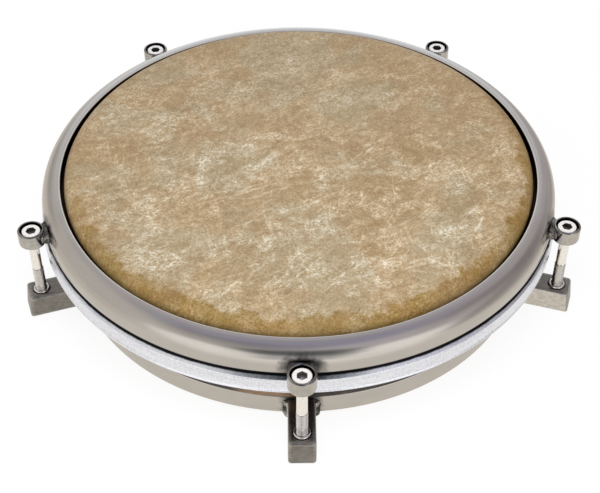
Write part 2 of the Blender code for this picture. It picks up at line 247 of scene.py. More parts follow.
# Soft dimmer and brighter places in the sky: turn from the front, height and radius in degrees, and share of light
SKY_SPOTS = [
    (-40, 60, 31, 0.76),
    (38, 52, 26, 1.2),
    (-135, 15, 18, 0.72),
    (112, 22, 24, 0.76),
    (72, 22, 18, 1.3),
    (15, 18, 13, 0.58),
    (30, 30, 12, 1.35),
]

# The range that most of a noise lies in
NOISE_RANGE = (0.3, 0.7)

# Film colours, from its darkest to its palest
FILM_BY_LIGHT = [
    (0.3, (0.318, 0.225, 0.122)),
    (0.5, (0.443, 0.341, 0.205)),
    (0.7, (0.567, 0.476, 0.333)),
    (1.0, (0.8, 0.735, 0.595)),
]

# Film tints, from warm to cool; the film's brown edge stain, painted heavier at the front as shade;
# and the film inside the counterhoop, painted near black as shade
FILM_TINT = [(0.0, (1.0, 0.95, 0.87)), (1.0, (0.965, 0.985, 0.97))]
FILM_STAIN_AND_SHADE = (0.7, 0.605, 0.36)
FILM_GAP_SHADE = (0.03, 0.022, 0.012)

# Film fibres: directions in degrees from +X, with how many run across a metre
SHORT_FIBRES = [(28, 150), (14, 190), (42, 170), (66, 180), (-14, 200), (95, 190), (130, 210)]
LONG_FIBRES = [(24, 80), (36, 95), (52, 85), (100, 90), (-20, 100)]

# Hex socket, painted with shade and highlights, from its dark mouth to its bright floor
SOCKET_LIGHT_AND_SHADE = [
    (0.15, (0.03, 0.029, 0.027)),
    (0.35, (0.26, 0.25, 0.235)),
    (0.6, (0.2, 0.19, 0.175)),
    (0.8, (0.03, 0.029, 0.027)),
    (0.96, (0.03, 0.029, 0.027)),
    (1.0, (0.5, 0.48, 0.45)),
]

# Painted shadow and reflection of the ears on the metal beside each weld, with how soon it gets paler away from a
# lug and above the ears
EAR_SHADOW_COLOUR = (0.022, 0.021, 0.024)
EAR_SHADOW_EDGE = (0.94, 1.045)
EAR_SHADOW_SLOPE = 17.0

# Colours of the metals and the wood, each ramp from the dark to the pale parts of its grain
NICKEL = (0.525, 0.5, 0.465)
BRIGHT_STEEL = (0.86, 0.84, 0.8)
GRIMY_STEEL = (0.09, 0.086, 0.08)
CAST_GRAIN = 700
EAR_PLATE = [(0.34, (0.42, 0.4, 0.365)), (0.66, (0.58, 0.56, 0.52))]
EAR_BURNT = [(0.38, (0.03, 0.028, 0.026)), (0.52, (0.1, 0.095, 0.092)), (0.64, (0.34, 0.325, 0.305))]
# Painted shade on the top edge of each eye
EAR_TOP_SHADE = (0.075, 0.07, 0.065)
# Painted shade inside each counterbore
COUNTERBORE_SHADE = (0.015, 0.014, 0.013)
LUG_STEEL = [(0.36, (0.17, 0.16, 0.142)), (0.64, (0.285, 0.27, 0.245))]
# Painted light on one side of each block
LUG_LIT_SIDE = [(0.35, (0.55, 0.52, 0.47)), (0.65, (0.76, 0.72, 0.66))]
LUG_WELD = [(0.4, (0.05, 0.047, 0.043)), (0.6, (0.45, 0.43, 0.4))]
LUG_EDGE = (0.42, 0.4, 0.37)
ZINC = [(0.35, (0.86, 0.84, 0.79)), (0.65, (0.95, 0.94, 0.9))]
# Painted shade in the thread roots
THREAD_ROOT_SHADE = (0.3, 0.28, 0.24)
ALUMINIUM = [(0.36, (0.62, 0.645, 0.71)), (0.5, (0.81, 0.84, 0.93)), (0.64, (0.96, 0.98, 1.0))]
# Painted shade on the flesh hoop's chamfer
CHAMFER_SHADE = [(0.36, (0.14, 0.185, 0.2)), (0.64, (0.26, 0.315, 0.33))]
# Painted shade in the groove under the counterhoop
GROOVE_SHADE = (0.012, 0.012, 0.014)
WOOD_BARE = [(0.34, (0.2, 0.115, 0.06)), (0.5, (0.34, 0.215, 0.125)), (0.66, (0.45, 0.31, 0.2))]
# Painted shade on the wooden ring's outside
WOOD_IN_SHADE = [(0.36, (0.012, 0.009, 0.007)), (0.64, (0.05, 0.035, 0.026))]

# The attribute that keeps a lug piece's place relative to its bolt axis
OWN_PLACE = "own_place"


# Mesh helpers

def arc(centre, radii, start, end, steps):
    """Points on an elliptical arc in the (r, z) plane, with angles in degrees from +r towards +z."""
    angles = [math.radians(start + (end - start) * i / steps) for i in range(steps + 1)]
    return [(centre[0] + radii[0] * math.cos(a), centre[1] + radii[1] * math.sin(a)) for a in angles]


def round_arc(centre, radius, start, end, steps):
    return arc(centre, (radius, radius), start, end, steps)


def new_object(name, data):
    obj = bpy.data.objects.new(name, data)
    bpy.context.scene.collection.objects.link(obj)
    return obj


def mesh_object(name, points, faces):
    """A closed, outward-facing mesh object, shaded smooth between its sharp edges."""
    mesh = bpy.data.meshes.new(name)
    mesh.from_pydata(points, [], faces)
    clean_mesh(mesh)
    return new_object(name, mesh)


def clean_mesh(mesh):
    shape = bmesh.new()
    shape.from_mesh(mesh)
    bmesh.ops.remove_doubles(shape, verts=shape.verts, dist=MERGE)
    bmesh.ops.dissolve_degenerate(shape, edges=shape.edges, dist=MERGE)
    bmesh.ops.recalc_face_normals(shape, faces=shape.faces)
    shape.to_mesh(mesh)
    shape.free()
    mesh.shade_smooth()
    mesh.set_sharp_from_angle(angle=SHARP_ANGLE)


def rings(name, ring_list):
    """A mesh object over rings of equally many points. A ring of one point closes an end."""
    points = []
    starts = []
    for ring in ring_list:
        starts.append(len(points))
        points += ring
    faces = []
    for k in range(len(ring_list) - 1):
        a, b = ring_list[k], ring_list[k + 1]
        count = max(len(a), len(b))
        for i in range(count):
            j = (i + 1) % count
            corners = [starts[k] + i % len(a), starts[k] + j % len(a)]
            corners += [starts[k + 1] + j % len(b), starts[k + 1] + i % len(b)]
            faces.append(tuple(dict.fromkeys(corners)))
    return mesh_object(name, points, faces)


def circle(radius, height, steps):
    if radius == 0:
        return [(0, 0, height)]
    turns = [2 * math.pi * i / steps for i in range(steps)]
    return [(radius * math.cos(a), radius * math.sin(a), height) for a in turns]


def turned(name, outline, steps=RING_STEPS, closed=True):
    """Turns an (r, z) outline about Z."""
    outline = outline + outline[:1] if closed else outline
    return rings(name, [circle(r, z, steps) for r, z in outline])


def turned_part(name, outline, half_angle, steps):
    """A closed solid: an (r, z) outline swept only about +X, to either side by half_angle."""
    count = len(outline)
    points = []
    for step in range(steps + 1):
        angle = half_angle * (2 * step / steps - 1)
        points += [(r * math.cos(angle), r * math.sin(angle), z) for r, z in outline]
    faces = [tuple(range(count)), tuple(range(steps * count, (steps + 1) * count))]
    for step in range(steps):
        for i in range(count):
            j = (i + 1) % count
            here = step * count
            faces.append((here + i, here + j, here + count + j, here + count + i))
    return mesh_object(name, points, faces)


def prism(name, outline, bottom, top):
    """A flat (x, y) outline given a height."""
    count = len(outline)
    points = [(x, y, bottom) for x, y in outline] + [(x, y, top) for x, y in outline]
    faces = [tuple(range(count)), tuple(range(count, 2 * count))]
    faces += [(i, (i + 1) % count, count + (i + 1) % count, count + i) for i in range(count)]
    return mesh_object(name, points, faces)


def settle(obj):
    """Replaces the object's mesh by what its modifiers make of it."""
    graph = bpy.context.evaluated_depsgraph_get()
    mesh = bpy.data.meshes.new_from_object(obj.evaluated_get(graph))
    obj.modifiers.clear()
    obj.data = mesh
    clean_mesh(mesh)
    return obj


def bevelled(obj, width, segments):
    bevel = obj.modifiers.new("Round", "BEVEL")
    bevel.width = width
    bevel.segments = segments
    bevel.limit_method = "ANGLE"
    bevel.angle_limit = BEVEL_ANGLE
    bevel.harden_normals = False
    return settle(obj)


def combine(obj, other, operation):
    boolean = obj.modifiers.new(other.name, "BOOLEAN")
    boolean.object = other
    boolean.operation = operation
    boolean.solver = "EXACT"
    settle(obj)
    bpy.data.objects.remove(other, do_unlink=True)
    return obj


def drilled(obj, radius, bottom, top):
    bore = turned("bore", [(0, top), (radius, top), (radius, bottom), (0, bottom)], BORE_STEPS, False)
    return combine(obj, bore, "DIFFERENCE")


def sunk(obj, radius, bottom, top, mouth):
    """A flat-bottomed hole from the top face down, with a chamfered mouth."""
    wide = radius + mouth + CUT_MARGIN
    over = top + CUT_MARGIN
    outline = [(0, over), (wide, over), (radius, top - mouth), (radius, bottom), (0, bottom)]
    return combine(obj, turned("seat", outline, BORE_STEPS, False), "DIFFERENCE")


# Shapes

def film_outline():
    """The film's outer face, from its middle over the bearing edge and down into the flesh hoop."""
    top = FILM_HIGH.z
    tuck = FILM_HIGH.x
    edge_centre = (FILM_RADIUS - FILM_EDGE_RADIUS, top - FILM_EDGE_RADIUS)
    flare_centre = (FILM_RADIUS + FILM_FLARE_RADIUS, FILM_FLARE_TOP + FILM_FLARE_RADIUS)
    tuck_centre = (tuck - FILM_TUCK_RADIUS, FILM_FLARE_TOP - FILM_TUCK_RADIUS)
    points = [(0, top)]
    points += round_arc(edge_centre, FILM_EDGE_RADIUS, 90, 0, steps=24)
    points += round_arc(flare_centre, FILM_FLARE_RADIUS, 180, 270, steps=8)
    points += round_arc(tuck_centre, FILM_TUCK_RADIUS, 90, 0, steps=8)
    points.append((tuck, FILM_LOW.z))
    return points


def inner_face(outline, wall):
    """The outline moved in by the wall, and run back the other way."""
    moved = []
    for i, (r, z) in enumerate(outline):
        before = Vector(outline[max(i - 1, 0)])
        after = Vector(outline[min(i + 1, len(outline) - 1)])
        along = (after - before).normalized()
        moved.append((max(r - wall * -along.y, 0) if r else 0, z - wall * along.x))
    return moved[::-1]


def make_film():
    outer = film_outline()
    return turned("fine_head_film", outer + inner_face(outer, FILM_THICKNESS), closed=False)


def crown_curve(gap):
    """The counterhoop's outer face, from its crest down to its side, moved out by the gap."""
    radii = (RIM_OUTER - RIM_CREST + gap, RIM_CROWN_DROP + gap)
    return arc((RIM_CREST, RIM_HIGH.z - RIM_CROWN_DROP), radii, 90, 0, CROWN_STEPS)


def make_counterhoop():
    bottom = RIM_LOW.z
    lip_bottom = RIM_HIGH.z - RIM_LIP_HEIGHT
    lip_centre = (RIM_INNER + RIM_LIP_ROUND, RIM_HIGH.z - RIM_LIP_ROUND)
    skirt_centre = (RIM_OUTER - RIM_SKIRT_ROUND, bottom + RIM_SKIRT_ROUND)
    outline = round_arc(lip_centre, RIM_LIP_ROUND, 180, 90, steps=8)
    outline += crown_curve(0)
    outline += round_arc(skirt_centre, RIM_SKIRT_ROUND, 0, -90, steps=8)
    outline += [(SLOT_OUTER, bottom), (SLOT_OUTER, lip_bottom)]
    outline += [(RIM_INNER + RIM_EDGE_ROUND, lip_bottom), (RIM_INNER, lip_bottom + RIM_EDGE_ROUND)]
    return turned("fine_counterhoop", outline)


def make_flesh_hoop():
    slot_inner = SLOT_OUTER - SLOT_WIDTH
    inner = slot_inner - HOOP_INNER_WALL
    bottom = HOOP_LOW.z
    top = HOOP_HIGH.z
    bead_centre = (HOOP_OUTER - HOOP_BEAD_HEIGHT / 2 + HOOP_BEAD, bottom + HOOP_BEAD_HEIGHT / 2)
    bend = HOOP_CHAMFER_ROUND * math.tan(math.radians(HOOP_CHAMFER_ANGLE / 2))
    bend_centre = (HOOP_OUTER - HOOP_CHAMFER_ROUND, top - HOOP_CHAMFER - bend)
    outline = [(HOOP_OUTER - HOOP_CHAMFER, top)]
    outline += round_arc(bend_centre, HOOP_CHAMFER_ROUND, HOOP_CHAMFER_ANGLE, 0, steps=6)
    outline.append((HOOP_OUTER, bottom + HOOP_WALL_FOOT))
    outline += round_arc(bead_centre, HOOP_BEAD_HEIGHT / 2, HOOP_BEAD_START, -90, steps=10)
    outline += [(inner, bottom), (inner, top), (slot_inner, top)]
    outline += [(slot_inner, SLOT_BOTTOM), (SLOT_OUTER, SLOT_BOTTOM), (SLOT_OUTER, top)]
    return turned("fine_flesh_hoop", outline)


def make_frame_band():
    inner = SHELL_RADIUS - BAND_WALL
    outline = [(inner, BAND_HIGH.z)]
    outline += round_arc((SHELL_RADIUS - BAND_EDGE, BAND_HIGH.z - BAND_EDGE), BAND_EDGE, 90, 0, steps=5)
    outline += round_arc((SHELL_RADIUS - BAND_EDGE, BAND_LOW.z + BAND_EDGE), BAND_EDGE, 0, -90, steps=5)
    outline += round_arc((inner + BAND_EDGE, BAND_LOW.z + BAND_EDGE), BAND_EDGE, -90, -180, steps=5)
    return turned("fine_frame_band", outline)


def make_bearing_ring():
    inner = SHELL_RADIUS - RING_WALL
    foot_radius = SHELL_RADIUS - BAND_WALL - SEAT_GAP
    ledge = BAND_HIGH.z + SEAT_GAP
    bottom = RING_LOW.z
    top = RING_HIGH.z
    outline = round_arc((inner + RING_INNER_ROUND, top - RING_INNER_ROUND), RING_INNER_ROUND, 180, 90, steps=6)
    outline += round_arc((SHELL_RADIUS - BEARING_RADIUS, top - BEARING_RADIUS), BEARING_RADIUS, 90, 0, steps=16)
    outline += [(SHELL_RADIUS, ledge), (foot_radius, ledge), (foot_radius, bottom + RING_FOOT_CHAMFER)]
    outline += [(foot_radius - RING_FOOT_CHAMFER, bottom), (inner + RING_FOOT_CHAMFER, bottom)]
    outline.append((inner, bottom + RING_FOOT_CHAMFER))
    return turned("fine_bearing_ring", outline)


def weld_neck():
    """The lumpy saddle of weld between an eye and the counterhoop, wider and higher towards the counterhoop."""
    start = -EAR_RADIUS / 2
    end = RIM_OUTER - RIM_SKIRT_WALL / 2 - BOLT_CIRCLE
    neck = [[(start, 0, (EAR_LOW.z + EAR_HIGH.z) / 2)]]
    for k in range(NECK_LAYERS + 1):
        share = k / NECK_LAYERS
        flare = share ** 2
        half_width = (NECK_WAIST + (NECK_ROOT - NECK_WAIST) * flare) / 2
        top = EAR_HIGH.z - NECK_DROP + NECK_SWEEP * flare
        bottom = EAR_LOW.z + NECK_RISE - NECK_SWEEP * flare
        x = start + (end - start) * share
        ring = []
        for i in range(NECK_STEPS):
            turn = 2 * math.pi * i / NECK_STEPS
            lump = 1 + sum(size * math.sin(round_it * turn + along * share) for size, round_it, along in NECK_LUMPS)
            across = math.copysign(abs(math.cos(turn)) ** NECK_SQUARENESS, math.cos(turn))
            up = math.copysign(abs(math.sin(turn)) ** NECK_SQUARENESS, math.sin(turn))
            ring.append((x, half_width * across * lump, (top + bottom) / 2 + (top - bottom) / 2 * up * lump))
        neck.append(ring)
    neck.append([(end, 0, (EAR_LOW.z + EAR_HIGH.z) / 2)])
    return rings("weld_neck", neck)


def make_ear():
    """A round eye for one bolt head, on the bolt's axis, with its neck towards -X cut to the counterhoop."""
    side = EAR_RADIUS - EAR_EDGE
    outline = [(0, EAR_HIGH.z)] + round_arc((side, EAR_HIGH.z - EAR_EDGE), EAR_EDGE, 90, 0, steps=6)
    outline += round_arc((side, EAR_LOW.z + EAR_EDGE), EAR_EDGE, 0, -90, steps=6) + [(0, EAR_LOW.z)]
    ear = turned("fine_rim_ear", outline, EAR_STEPS, False)
    combine(ear, weld_neck(), "UNION")
    low = EAR_LOW.z - CUT_MARGIN
    high = EAR_HIGH.z + CUT_MARGIN
    inside_rim = [(RIM_INNER, RIM_HIGH.z)] + crown_curve(WELD_SEAM)
    inside_rim += [(RIM_OUTER + WELD_SEAM, low), (RIM_INNER, low)]
    rim = turned_part("rim_clearance", inside_rim, CLEARANCE_HALF_ANGLE, CLEARANCE_STEPS)
    rim.data.transform(Matrix.Translation((-BOLT_CIRCLE, 0, 0)))
    combine(ear, rim, "DIFFERENCE")
    drilled(ear, BOLT_HOLE_RADIUS, low, high)
    return sunk(ear, COUNTERBORE_RADIUS, COUNTERBORE_FLOOR, EAR_HIGH.z, COUNTERBORE_EDGE)


def weld_bead(side):
    """A rippled bead up the corner between a block and the band."""
    face = SHELL_RADIUS - BOLT_CIRCLE
    bottom = BAND_LOW.z - BLOCK_ROUND
    top = BLOCK_HIGH.z - BLOCK_ROUND / 2
    bead = [[(face, side * BLOCK_WIDTH / 2, bottom)]]
    for k in range(1, WELD_LAYERS):
        share = k / WELD_LAYERS
        height = bottom + (top - bottom) * share
        swell = math.sin(math.pi * share) ** WELD_BLUNTNESS
        ring = []
        for i, (x, y, z) in enumerate(circle(1, height, WELD_STEPS)):
            turn = 2 * math.pi * i / WELD_STEPS
            ripple = WELD_RIPPLE_DEPTH * math.sin(2 * math.pi * height / WELD_RIPPLE + math.cos(turn))
            lump = 0
            for size, up, round_it, shift in WELD_LUMPS:
                lump += size * math.sin(height * up + round_it * turn + shift * side)
            flat = 0.5 + 0.5 / (abs(x) + abs(y))
            radius = WELD_RADIUS * swell * flat * (WELD_FILL + ripple + lump)
            ring.append((face + radius * x, side * BLOCK_WIDTH / 2 + radius * y, z))
        bead.append(ring)
    bead.append([(face, side * BLOCK_WIDTH / 2, top)])
    return rings(f"weld_bead_{side}", bead)


def make_block():
    """A rounded bar with a raked nose, on the bolt's axis, welded to the band, with a hole for the insert."""
    face = SHELL_RADIUS + SEAT_GAP - BOLT_CIRCLE
    root = face - BAND_WALL - BLOCK_ROUND
    low, high = BLOCK_LOW.z, BLOCK_HIGH.z
    side_view = [(root, low), (BLOCK_NOSE + BLOCK_DRAFT, low), (BLOCK_NOSE, high), (root, high)]
    block = prism("fine_lug_block", side_view, -BLOCK_WIDTH / 2, BLOCK_WIDTH / 2)
    block.data.transform(Matrix.Rotation(math.radians(90), 4, "X"))
    bevelled(block, BLOCK_ROUND, segments=5)
    for side in (-1, 1):
        combine(block, weld_bead(side), "UNION")
    inner = SHELL_RADIUS - BAND_WALL * 3
    outer = SHELL_RADIUS + SEAT_GAP / 2
    low = BLOCK_LOW.z - CUT_MARGIN
    high = BLOCK_HIGH.z + CUT_MARGIN
    inside_band = [(inner, high), (outer, high), (outer, low), (inner, low)]
    band = turned_part("band_clearance", inside_band, CLEARANCE_HALF_ANGLE, CLEARANCE_STEPS)
    band.data.transform(Matrix.Translation((-BOLT_CIRCLE, 0, 0)))
    combine(block, band, "DIFFERENCE")
    drilled(block, BOLT_HOLE_RADIUS, low, high)
    return sunk(block, INSERT_RADIUS + SEAT_GAP, INSERT_SEAT, BLOCK_HIGH.z, INSERT_MOUTH)


def hexagon(width, height):
    """A ring of points on a hexagon that is width across its flats."""
    ring = []
    for i in range(BORE_STEPS):
        angle = 2 * math.pi * i / BORE_STEPS
        off_flat = angle % math.radians(60) - math.radians(30)
        radius = width / 2 / math.cos(off_flat)
        ring.append((radius * math.cos(angle), radius * math.sin(angle), height))
    return ring


def thread_rings(top, bottom):
    """Rings of a helical thread. Each point slides along the helix, and the thread fades out at both ends."""
    profile = (0.0, 1.0, 1.0, 0.0)
    per_turn = len(profile)
    layers = round((top - bottom) / THREAD_PITCH * per_turn)
    result = []
    for k in range(layers + 1 + per_turn):
        ring = []
        for i in range(BORE_STEPS):
            angle = 2 * math.pi * i / BORE_STEPS
            height = top - (k / per_turn - i / BORE_STEPS) * THREAD_PITCH
            height = min(max(height, bottom), top)
            fade = min((top - height) / THREAD_PITCH, (height - bottom) / THREAD_PITCH, 1)
            radius = THREAD_RADIUS - THREAD_DEPTH * (1 - fade * profile[k % per_turn])
            ring.append((radius * math.cos(angle), radius * math.sin(angle), height))
        result.append(ring)
    return result


def make_bolt():
    top = BOLT_HIGH.z
    under = top - HEAD_HEIGHT
    core = THREAD_RADIUS - THREAD_DEPTH
    socket_floor = top - HEX_DEPTH
    shape = [[(0, 0, socket_floor - SOCKET_CONE_DEPTH)]]
    shape.append(circle(SOCKET_CONE_RADIUS, socket_floor, BORE_STEPS))
    shape.append(hexagon(HEX_KEY, socket_floor))
    shape.append(hexagon(HEX_KEY, top - HEX_MOUTH))
    shape.append(hexagon(HEX_KEY + 2 * HEX_MOUTH, top))
    head_edge = round_arc((HEAD_RADIUS - HEAD_ROUND, top - HEAD_ROUND), HEAD_ROUND, 90, 0, steps=6)
    shank = [(HEAD_RADIUS, under), (SHANK_RADIUS, under), (SHANK_RADIUS, THREAD_TOP), (core, THREAD_TOP)]
    shape += [circle(r, z, BORE_STEPS) for r, z in head_edge + shank]
    shape += thread_rings(THREAD_TOP, BOLT_LOW.z)
    shape.append([(0, 0, BOLT_LOW.z)])
    return rings("fine_tension_bolt", shape)


def make_washer():
    inner = BOLT_HOLE_RADIUS
    low, high = WASHER_LOW.z, WASHER_HIGH.z
    outline = [(inner, high), (WASHER_RADIUS - WASHER_EDGE, high), (WASHER_RADIUS, high - WASHER_EDGE)]
    outline += [(WASHER_RADIUS, low + WASHER_EDGE), (WASHER_RADIUS - WASHER_EDGE, low), (inner, low)]
    return turned("fine_bolt_washer", outline, BORE_STEPS)


def make_insert():
    low, high = INSERT_LOW.z, INSERT_HIGH.z
    outline = [(BOLT_HOLE_RADIUS, high)]
    outline += round_arc((INSERT_RADIUS - INSERT_ROUND, high - INSERT_ROUND), INSERT_ROUND, 90, 0, steps=6)
    outline += [(INSERT_RADIUS, low), (BOLT_HOLE_RADIUS, low)]
    return turned("fine_thread_insert", outline, BORE_STEPS)


# Materials

class Nodes:
    """Short calls that add and join the nodes of one tree."""

    def __init__(self, tree):
        self.tree = tree

    def put(self, socket, value):
        if isinstance(value, bpy.types.NodeSocket):
            self.tree.links.new(value, socket)
        else:
            socket.default_value = value

    def add(self, kind, inputs=(), output=0, **settings):
        node = self.tree.nodes.new(kind)
        for key, value in settings.items():
            setattr(node, key, value)
        for key, value in dict(inputs).items():
            self.put(node.inputs[key], value)
        return node.outputs[output]

    def split(self, vector):
        return self.add("ShaderNodeSeparateXYZ", {0: vector}).node.outputs

    def join(self, x, y, z):
        return self.add("ShaderNodeCombineXYZ", {0: x, 1: y, 2: z})

    def maths(self, operation, a, b=0.0):
        return self.add("ShaderNodeMath", {0: a, 1: b}, operation=operation)

    def times(self, a, b):
        return self.maths("MULTIPLY", a, b)

    def minus(self, a, b):
        return self.maths("SUBTRACT", a, b)

    def length(self, x, y):
        return self.maths("SQRT", self.maths("ADD", self.times(x, x), self.times(y, y)))

    def total(self, parts):
        """The sum of (value, weight) pairs."""
        value, weight = parts[0]
        result = self.times(value, weight)
        for value, weight in parts[1:]:
            result = self.add("ShaderNodeMath", {0: value, 1: weight, 2: result}, operation="MULTIPLY_ADD")
        return result

    def stretched(self, vector, turn, stretch):
        """Draws a pattern out along a direction that lies so many degrees from +X."""
        inputs = {"Vector": vector, "Rotation": (0, 0, math.radians(turn)), "Scale": (stretch, 1, 1)}
        return self.add("ShaderNodeMapping", inputs, vector_type="TEXTURE")

    def noise(self, vector, scale, detail=3.0, roughness=0.6, distortion=0.0):
        inputs = {"Vector": vector, "Scale": scale, "Detail": detail}
        inputs.update({"Roughness": roughness, "Distortion": distortion})
        return self.add("ShaderNodeTexNoise", inputs)

    def fit(self, value, low, high, to_low=0.0, to_high=1.0):
        return self.add("ShaderNodeMapRange", {0: value, 1: low, 2: high, 3: to_low, 4: to_high})

    def spread(self, noise, to_low, to_high):
        """Maps the range that most of a noise lies in."""
        return self.fit(noise, *NOISE_RANGE, to_low, to_high)

    def soft(self, value, low, high):
        """A soft step from 0 at low to 1 at high, where low may be the greater of the two."""
        inputs = {0: value, 1: low, 2: high}
        return self.add("ShaderNodeMapRange", inputs, interpolation_type="SMOOTHSTEP")

    def ramp(self, factor, stops):
        socket = self.add("ShaderNodeValToRGB", {0: factor})
        band = socket.node.color_ramp
        while len(band.elements) < len(stops):
            band.elements.new(1.0)
        for element, (position, colour) in zip(band.elements, stops):
            element.position = position
            element.color = (*colour, 1)
        return socket

    def mix(self, factor, a, b, blend="MIX"):
        colours = [c if isinstance(c, bpy.types.NodeSocket) else (*c, 1) for c in (a, b)]
        inputs = {0: factor, 6: colours[0], 7: colours[1]}
        return self.add("ShaderNodeMix", inputs, output=2, data_type="RGBA", blend_type=blend)


class Material(Nodes):
    """A material whose Principled shader takes its values from nodes."""

    def __init__(self, name):
        self.material = bpy.data.materials.new(name)
        self.material.use_nodes = True
        super().__init__(self.material.node_tree)
        self.shader = self.tree.nodes["Principled BSDF"]

    def place(self):
        return self.add("ShaderNodeTexCoord", output="Object")

    def own_place(self):
        return self.add("ShaderNodeAttribute", output="Vector", attribute_name=OWN_PLACE)

    def round_axis(self, vector):
        """Radius, height and a point on the unit circle, for marks that run round the drum without a seam."""
        x, y, z = self.split(vector)
        radius = self.length(x, y)
        return radius, z, self.maths("DIVIDE", x, radius), self.maths("DIVIDE", y, radius)

    def by_lug(self, across, along):
        """1 beside each lug, falling to -1 halfway between two."""
        turn = self.maths("ADD", self.maths("ARCTAN2", along, across), -FIRST_LUG_ANGLE)
        return self.maths("COSINE", self.times(turn, len(LUGS)))

    def painted_ear_shadow(self, place, across, along, less=0.0):
        """How dark the painted shadow and reflection of the ears make the metal, which is darkest beside each lug.
        """
        near = self.by_lug(across, along)
        uneven = self.total([(near, 1.0), (self.noise(place, 160), 0.12), (less, -1.0)])
        return self.soft(uneven, *EAR_SHADOW_EDGE)

    def bump(self, height, strength, distance):
        inputs = {"Height": height, "Strength": strength, "Distance": distance}
        self.put(self.shader.inputs["Normal"], self.add("ShaderNodeBump", inputs))

    def finish(self, **inputs):
        for key, value in inputs.items():
            self.put(self.shader.inputs[key.replace("_", " ").title()], value)
        return self.material


def scaled(colour, factor):
    return tuple(c * factor for c in colour)


def fibres(nodes, place, turn, stretch, scale, width, broken_scale):
    """Thin wavy lines where a drawn-out noise crosses its middle, broken up into lengths."""
    drawn_out = nodes.stretched(place, turn, stretch)
    level = nodes.noise(drawn_out, scale, detail=2.0, roughness=0.45, distortion=0.7)
    line = nodes.fit(nodes.maths("ABSOLUTE", nodes.minus(level, 0.5)), width / 4, width, 1, 0)
    lengths = nodes.noise(nodes.stretched(place, turn, 1.5), broken_scale, detail=2.0, roughness=0.5)
    return nodes.times(line, nodes.soft(lengths, 0.5, 0.6))


def film_material():
    """Tan film matted with pale fibres, browned along its edge and most at the front, where the brown is painted
    shade, and painted near black as shade inside the counterhoop.
    """
    nodes = Material("mottled_film")
    place = nodes.place()
    radius, height, across, along = nodes.round_axis(place)
    flat_end = FILM_RADIUS - FILM_EDGE_RADIUS
    drift = nodes.noise(place, 22, detail=4.0, distortion=0.5)
    patches = nodes.noise(place, 19, detail=4.0, distortion=0.4)
    mottle = nodes.noise(nodes.stretched(place, 28, 1.3), 210, detail=5.0, roughness=0.75)
    grain = nodes.noise(place, 800, detail=2.0, roughness=0.7)
    matting = nodes.noise(nodes.stretched(place, 30, 1.4), 58, detail=6.0, roughness=0.7, distortion=0.3)
    clump = nodes.soft(matting, 0.42, 0.62)
    wisps = [fibres(nodes, place, turn, 4, scale, 0.028, scale) for turn, scale in SHORT_FIBRES]
    lines = nodes.maths("MINIMUM", nodes.total([(wisp, 0.9) for wisp in wisps]), 1.0)
    hairs = [fibres(nodes, place, turn, 6, scale, 0.016, scale / 2) for turn, scale in LONG_FIBRES]
    threads = nodes.maths("MINIMUM", nodes.total([(hair, 0.8) for hair in hairs]), 1.0)
    matted = nodes.times(lines, nodes.fit(clump, 0, 1, 0.15, 0.9))
    fibrous = nodes.total([(matted, 1.0), (threads, 0.55)])
    to_back = nodes.fit(nodes.split(place)["Y"], -0.02, 0.12, 1.0, 0.35)
    to_edge = nodes.fit(radius, flat_end - 0.016, flat_end + 0.002, 1.0, 0.55)
    thinned = nodes.times(to_back, to_edge)
    drawn = nodes.times(fibrous, thinned)
    speckle = nodes.times(nodes.minus(grain, 0.5), nodes.fit(clump, 0, 1, 0.7, 1.2))
    paler = [(drift, 0.34), (mottle, 0.6), (speckle, 1.0), (nodes.times(clump, thinned), 0.13), (drawn, 0.36)]
    tan = nodes.ramp(nodes.minus(nodes.total(paler), 0.04), FILM_BY_LIGHT)
    tint = nodes.ramp(nodes.soft(patches, 0.42, 0.58), FILM_TINT)
    skin = nodes.mix(1.0, tan, tint, "MULTIPLY")
    uneven = nodes.spread(nodes.noise(place, 70, detail=5.0, roughness=0.7), -0.006, 0.006)
    ragged = nodes.total([(radius, 1.0), (uneven, 1.0)])
    stain_patchiness = nodes.fit(nodes.noise(place, 40, distortion=0.4), 0.35, 0.6, 0.6, 1.0)
    # Brown stain on the film's bent edge, painted heaviest towards the front as shade on that edge
    stain_and_front_shade = nodes.times(stain_patchiness, nodes.soft(nodes.total([(along, 1.0), (across, -0.35)]), 0.45, -0.2))
    edge_stain_and_shade = nodes.times(nodes.soft(ragged, flat_end + 0.0005, flat_end + 0.005), stain_and_front_shade)
    brown = nodes.mix(1.0, skin, FILM_STAIN_AND_SHADE, "MULTIPLY")
    # Painted shade: the film is painted near black below the counterhoop's lip, where it lies in the gap
    gap_shaded = nodes.soft(height, FILM_HIGH.z - 0.0082, FILM_HIGH.z - 0.0096)
    colour = nodes.mix(gap_shaded, nodes.mix(edge_stain_and_shade, skin, brown), FILM_GAP_SHADE)
    nodes.bump(nodes.total([(drawn, 0.5), (grain, 0.6), (mottle, 0.5)]), 0.16, 0.0003)
    nodes.shader.inputs["Specular IOR Level"].default_value = 0.12
    return nodes.finish(base_color=colour, roughness=nodes.spread(grain, 0.42, 0.56))


